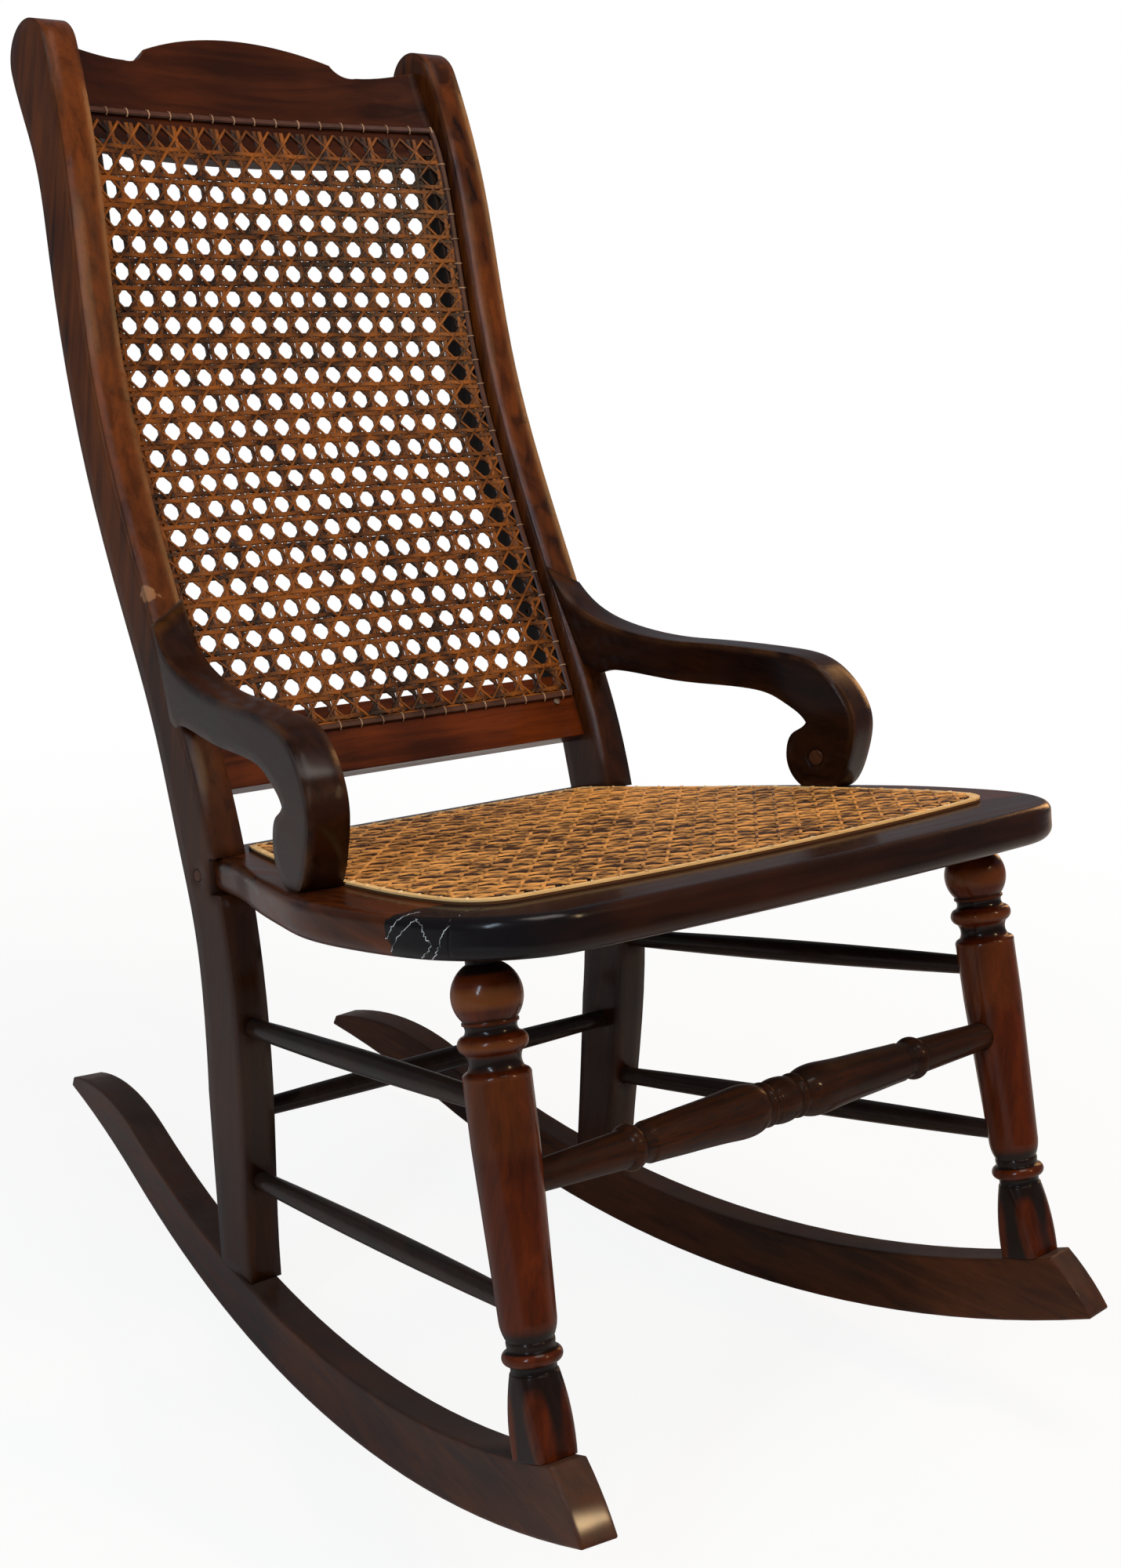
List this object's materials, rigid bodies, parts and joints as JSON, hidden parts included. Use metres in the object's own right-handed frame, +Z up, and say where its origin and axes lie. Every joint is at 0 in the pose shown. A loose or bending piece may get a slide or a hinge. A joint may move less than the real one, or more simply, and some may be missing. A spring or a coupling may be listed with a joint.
{
  "type": "cane rocking chair",
  "caption": "Low rocking chair with scrolled arms, turned front legs, bowed sawn posts, a woven cane seat and a woven cane back",
  "frame": {"origin": "on the floor, in the middle of the chair's width and of its overall depth, with the empty chair at rest on its rockers", "axes": "+Z up, -Y the way a sitter faces, +X the right side of the chair as seen from the front"},
  "size_m": [0.538, 0.8232, 0.8803],
  "materials": {
    "back_cane": "woven rattan cane, mid-brown",
    "binder": "flat cane binder, worn satin",
    "dowel_wood": "plain stained hardwood",
    "frame_wood": "dark red-brown stain under a worn gloss varnish",
    "rocker_wood": "dark red-brown varnish, dusty on top",
    "seat_cane": "woven rattan cane, golden",
    "slip_wood": "near-black brown stain",
    "steel": "dull steel"
  },
  "bodies": {
    "root": {"arm_dowels": "dowel_wood", "arm_plugs": "dowel_wood", "arm_screws": "steel", "back_binder": "binder", "back_cane": "back_cane", "crest_rail": "frame_wood", "front_stretcher": "frame_wood", "left_arm": "frame_wood", "left_back_post": "frame_wood", "left_cane_slip": "slip_wood", "left_front_leg": "frame_wood", "left_lower_stretcher": "frame_wood", "left_rocker": "rocker_wood", "left_seat_rail": "frame_wood", "left_upper_stretcher": "frame_wood", "lower_back_rail": "frame_wood", "post_plugs": "dowel_wood", "post_screws": "steel", "rail_nails": "steel", "rear_stretcher": "frame_wood", "right_arm": "frame_wood", "right_back_post": "frame_wood", "right_cane_slip": "slip_wood", "right_front_leg": "frame_wood", "right_lower_stretcher": "frame_wood", "right_rocker": "rocker_wood", "right_seat_rail": "frame_wood", "right_upper_stretcher": "frame_wood", "rocker_dowels": "dowel_wood", "seat_binder": "binder", "seat_cane": "seat_cane", "seat_dowels": "dowel_wood", "seat_front_rail": "frame_wood", "seat_rear_rail": "frame_wood", "slip_pins": "dowel_wood"}
  },
  "joints": []
}
